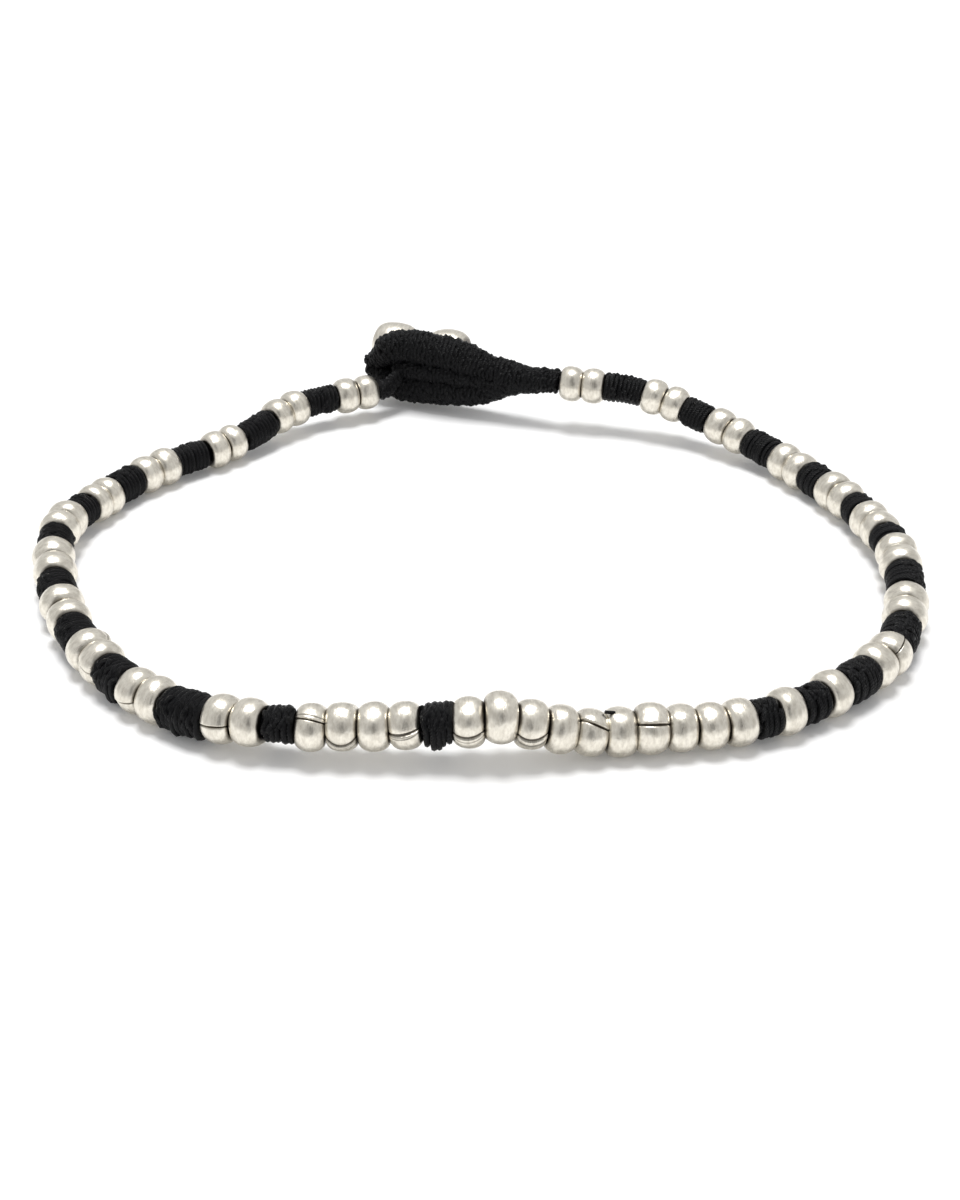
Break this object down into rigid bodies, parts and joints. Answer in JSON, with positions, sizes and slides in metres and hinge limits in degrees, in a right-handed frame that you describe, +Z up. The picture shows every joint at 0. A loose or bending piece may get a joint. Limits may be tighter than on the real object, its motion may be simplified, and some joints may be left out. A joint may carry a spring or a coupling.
{
  "type": "beaded bracelet",
  "caption": "Beaded bracelet: satin silver barrel beads on a black waxed cord with wound knots between them, closed by a knotted loop over a pair of larger beads.",
  "frame": {"origin": "the middle of the footprint, on the surface that the bracelet lies on", "axes": "+Z up, +X along the long way across the loop, +Y towards the closure"},
  "size_m": [0.0644, 0.0624, 0.0071],
  "materials": {
    "satin_silver": "warm light silver, satin, with fine turned scratches",
    "waxed_cord": "black waxed thread, faint sheen"
  },
  "bodies": {
    "root": {"knotted_cord": "waxed_cord", "closure_loop": "waxed_cord", "closure_cord": "waxed_cord", "bead_run_01": "satin_silver", "bead_run_02": "satin_silver", "bead_run_03": "satin_silver", "bead_run_04": "satin_silver", "bead_run_05": "satin_silver", "bead_run_06": "satin_silver", "bead_run_07": "satin_silver", "bead_run_08": "satin_silver", "bead_run_09": "satin_silver", "bead_run_10": "satin_silver", "bead_run_11": "satin_silver", "bead_run_12": "satin_silver", "bead_run_13": "satin_silver", "bead_run_14": "satin_silver", "bead_run_15": "satin_silver", "bead_run_16": "satin_silver", "bead_run_17": "satin_silver", "bead_run_18": "satin_silver", "bead_run_19": "satin_silver", "bead_run_20": "satin_silver", "bead_run_21": "satin_silver", "bead_run_22": "satin_silver", "bead_run_23": "satin_silver", "bead_run_24": "satin_silver", "closure_bead_left": "satin_silver", "closure_bead_right": "satin_silver"}
  },
  "joints": []
}
